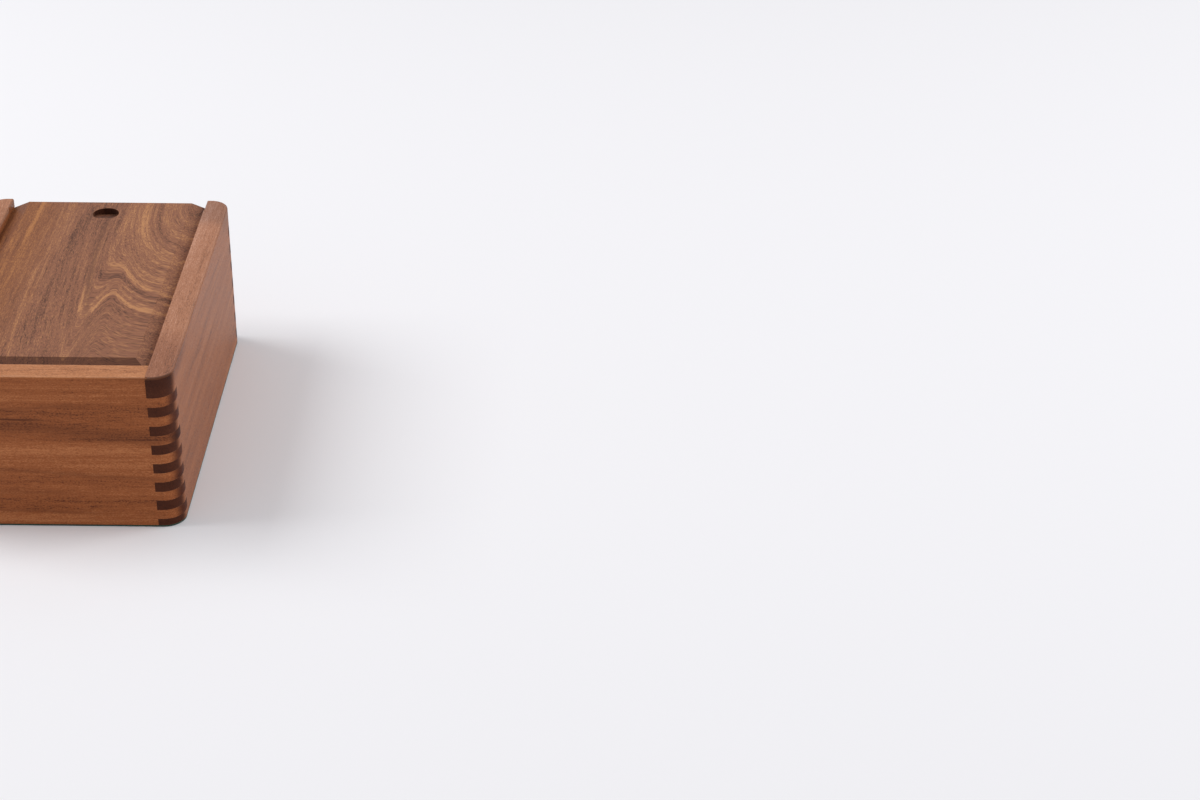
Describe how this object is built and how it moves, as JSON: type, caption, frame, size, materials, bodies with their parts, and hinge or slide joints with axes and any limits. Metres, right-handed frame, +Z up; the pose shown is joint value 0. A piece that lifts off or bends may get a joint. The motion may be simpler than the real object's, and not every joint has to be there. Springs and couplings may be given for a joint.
{
  "type": "chess piece box with sliding lid",
  "caption": "Rounded wooden box for chess pieces, finger-jointed at its corners, with a grooved raised lid that slides off over the low rear wall.",
  "frame": {"origin": "on the surface the box stands on, under the middle of the box", "axes": "+Z up, +Y towards the end that the lid slides out of, +X to the right seen from the closed front"},
  "size_m": [0.1588, 0.2444, 0.1016],
  "materials": {
    "wood_end_walls": "satin oiled, reddish brown, grain across the box",
    "wood_side_walls": "satin oiled, pinkish brown, grain along the box",
    "wood_lid": "satin oiled, greyish brown with golden figure, grain along the box",
    "wood_inside": "plain oiled",
    "felt_lining": "matt green felt",
    "felt_base": "matt green felt"
  },
  "bodies": {
    "box": {"front_wall": "wood_end_walls", "rear_wall": "wood_end_walls", "left_wall": "wood_side_walls", "right_wall": "wood_side_walls", "bottom_board": "wood_inside", "divider": "wood_inside", "lining_front": "felt_lining", "lining_rear": "felt_lining", "base_felt": "felt_base"},
    "lid": {"sliding_lid": "wood_lid"}
  },
  "joints": [
    {"name": "lid_slide", "type": "slide", "parent": "box", "child": "lid", "axis": [0, 1, 0], "range_m": [0, 0.245]}
  ]
}
